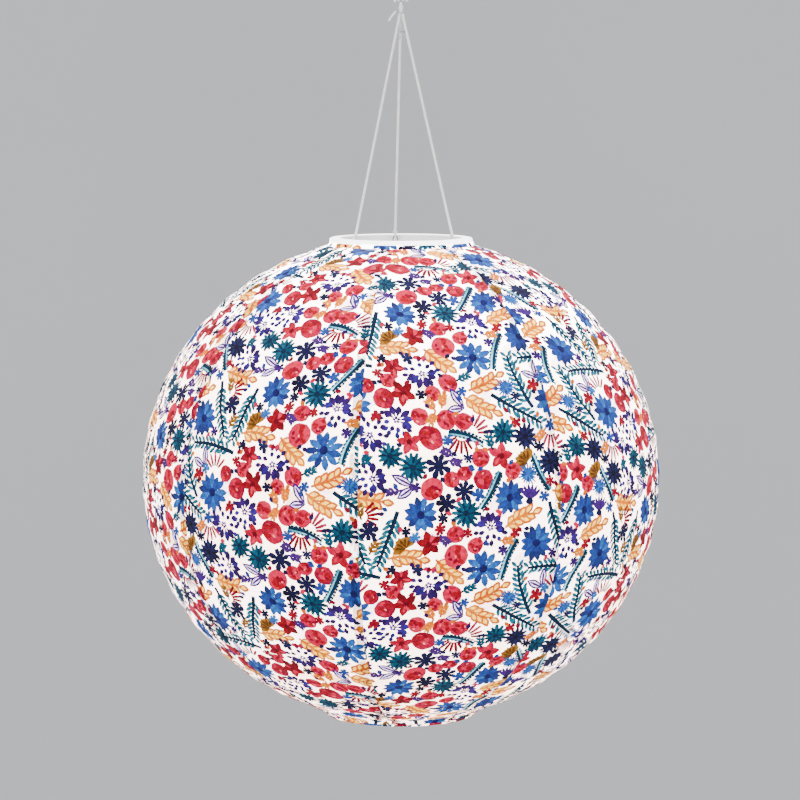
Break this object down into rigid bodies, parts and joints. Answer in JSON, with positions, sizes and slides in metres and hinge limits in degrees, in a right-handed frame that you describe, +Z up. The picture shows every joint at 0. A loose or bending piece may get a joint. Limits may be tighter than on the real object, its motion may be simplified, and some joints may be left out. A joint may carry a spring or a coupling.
{
  "type": "hanging globe lantern",
  "caption": "Collapsible hanging globe lantern: printed cloth gores on a spiral rib, a white collar with a solar light head, and three cords to a hanging loop.",
  "frame": {"origin": "the point where a hook bears, inside the top of the hanging loop", "axes": "+Z up along the lantern's axis, -Y towards the front, +X to the right"},
  "size_m": [0.3032, 0.3032, 0.4421],
  "materials": {
    "printed_cloth": "thin matt woven cloth, pale ground with a dense multicolour flower print, lit from inside",
    "cord": "white braided cord",
    "clear_thread": "clear bluish thread",
    "link_steel": "grey wire",
    "white_plastic": "white moulded plastic, satin",
    "seal_rubber": "black seal",
    "solar_cell": "dark blue cells with thin silver lines",
    "clear_cover": "clear cover",
    "screw_steel": "plated screw",
    "battery_sleeve": "plain green shrink sleeve",
    "spring_steel": "plated spring steel",
    "circuit_board": "green solder mask",
    "red_wire": "red insulation",
    "black_wire": "black insulation",
    "led_lens": "warm white LED, lit",
    "frosted_plastic": "frosted diffuser, lit",
    "black_plastic": "black moulded plastic",
    "hoop_steel": "galvanised wire",
    "rib_wire": "thin plated wire"
  },
  "bodies": {
    "hanging_loop": {"hang_loop_inner": "cord", "hang_loop_outer": "cord"},
    "loop_knot": {"loop_knot": "cord"},
    "gather_knot": {"gather_knot": "cord"},
    "lantern": {"cord_tail": "cord", "suspension_cord_left": "cord", "suspension_cord_back": "cord", "suspension_cord_right": "cord", "binding_knot": "clear_thread", "wire_link_left": "link_steel", "wire_link_back": "link_steel", "wire_link_right": "link_steel", "rim_collar": "white_plastic", "tray_seal": "seal_rubber", "panel_tray": "white_plastic", "panel_seal": "seal_rubber", "solar_panel": "solar_cell", "panel_window": "clear_cover", "lower_case": "white_plastic", "case_screw_1": "screw_steel", "case_screw_2": "screw_steel", "case_screw_3": "screw_steel", "battery": "battery_sleeve", "battery_spring": "spring_steel", "battery_contact": "spring_steel", "circuit_board": "circuit_board", "solar_lead_red": "red_wire", "solar_lead_black": "black_wire", "led_emitter": "led_lens", "led_diffuser": "frosted_plastic", "switch_body": "black_plastic", "top_hoop": "hoop_steel", "rib_spiral": "rib_wire", "shade_panel_1": "printed_cloth", "shade_panel_2": "printed_cloth", "shade_panel_3": "printed_cloth", "shade_panel_4": "printed_cloth", "shade_panel_5": "printed_cloth", "shade_panel_6": "printed_cloth", "shade_panel_7": "printed_cloth", "shade_panel_8": "printed_cloth"},
    "battery_door": {"battery_door": "white_plastic"},
    "switch_knob": {"switch_knob": "black_plastic"},
    "bottom_hoop": {"bottom_hoop": "hoop_steel"}
  },
  "joints": [
    {"name": "swing_fore_aft", "type": "hinge", "parent": "hanging_loop", "child": "loop_knot", "pos_m": [0, 0, -0.022], "axis": [1, 0, 0], "range_deg": [-25, 25]},
    {"name": "swing_sideways", "type": "hinge", "parent": "loop_knot", "child": "gather_knot", "pos_m": [0, 0, -0.022], "axis": [0, 1, 0], "range_deg": [-25, 25]},
    {"name": "cord_twist", "type": "hinge", "parent": "gather_knot", "child": "lantern", "pos_m": [0, 0, -0.022], "axis": [0, 0, 1], "range_deg": [-180, 180]},
    {"name": "shade_collapse", "type": "slide", "parent": "lantern", "child": "bottom_hoop", "axis": [0, 0, 1], "range_m": [0, 0.238], "deforming": ["shade_panel_1", "shade_panel_2", "shade_panel_3", "shade_panel_4", "shade_panel_5", "shade_panel_6", "shade_panel_7", "shade_panel_8", "rib_spiral"]},
    {"name": "battery_door_slide", "type": "slide", "parent": "lantern", "child": "battery_door", "axis": [0, 1, 0], "range_m": [0, 0.008]},
    {"name": "switch_slide", "type": "slide", "parent": "lantern", "child": "switch_knob", "axis": [0, 1, 0], "range_m": [0, 0.003]}
  ]
}
